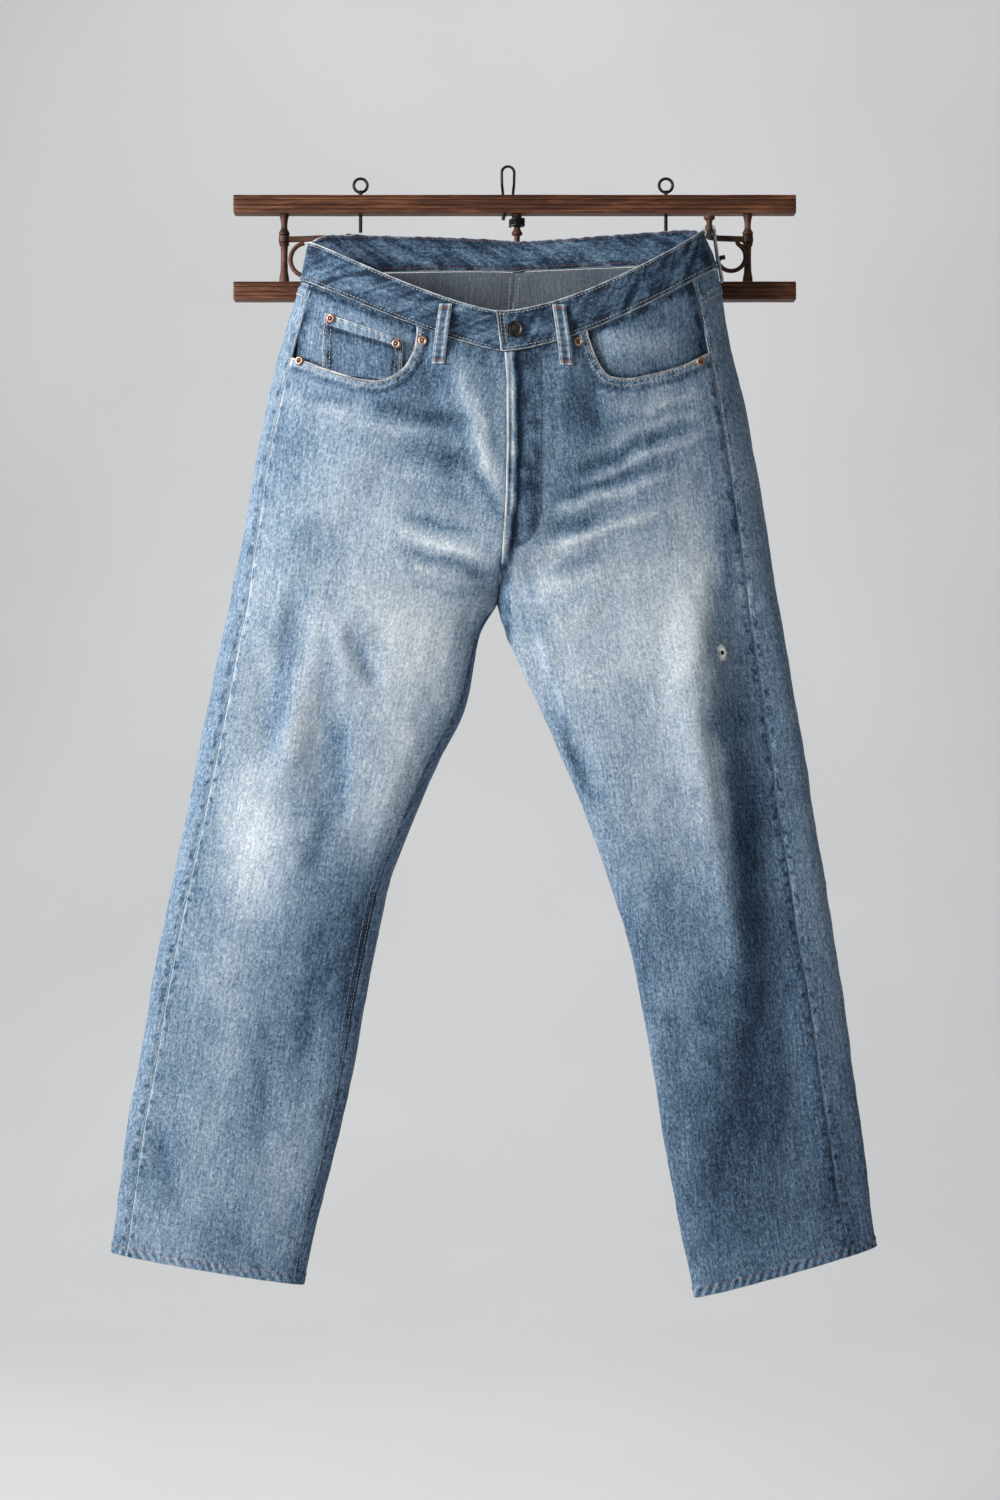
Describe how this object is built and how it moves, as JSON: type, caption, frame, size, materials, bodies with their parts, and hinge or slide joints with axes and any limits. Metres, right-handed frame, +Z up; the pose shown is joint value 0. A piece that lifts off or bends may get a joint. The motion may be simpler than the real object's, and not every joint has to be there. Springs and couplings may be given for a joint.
{
  "type": "jeans hung from a small wall rack",
  "caption": "Straight-leg denim jeans hung by their back belt loops from the swing arms of a small wooden and iron wall rack, waist drooping open at the front.",
  "frame": {"origin": "inside the top of the rack's wire loop, where a wall hook holds it", "axes": "+X to the viewer's right across the garment, +Y back to the wall, +Z up; the front of the jeans faces -Y"},
  "size_m": [0.7976, 0.1116, 1.1863],
  "materials": {
    "denim": "washed twill, worn",
    "pocketing": "plain cotton weave",
    "copper": "aged copper",
    "bronze": "dark aged bronze",
    "wood": "stained and oiled",
    "iron": "dark, rust-brown patina",
    "wire": "black"
  },
  "bodies": {
    "root": {"back_left": "denim", "back_pocket_left": "denim", "back_pocket_right": "denim", "back_right": "denim", "belt_loop_back_centre": "denim", "belt_loop_back_left": "denim", "belt_loop_back_right": "denim", "belt_loop_front_left": "denim", "belt_loop_front_right": "denim", "coin_pocket": "denim", "eye_screw_left": "iron", "eye_screw_right": "iron", "fly_shield": "denim", "front_left": "denim", "front_right": "denim", "hanging_wire": "wire", "pocket_bag_left": "pocketing", "pocket_bag_right": "pocketing", "pocket_facing_left": "denim", "pocket_facing_right": "denim", "rack_arm_left": "iron", "rack_arm_right": "iron", "rack_bar_lower": "wood", "rack_bar_upper": "wood", "rack_post_centre": "iron", "rack_post_left": "iron", "rack_post_right": "iron", "rivet_coin_inner": "copper", "rivet_coin_outer": "copper", "rivet_left_side": "copper", "rivet_left_waist": "copper", "rivet_right_side": "copper", "rivet_right_waist": "copper", "waist_button": "bronze", "waistband_left": "denim", "waistband_right": "denim", "yoke_left": "denim", "yoke_right": "denim"}
  },
  "joints": []
}
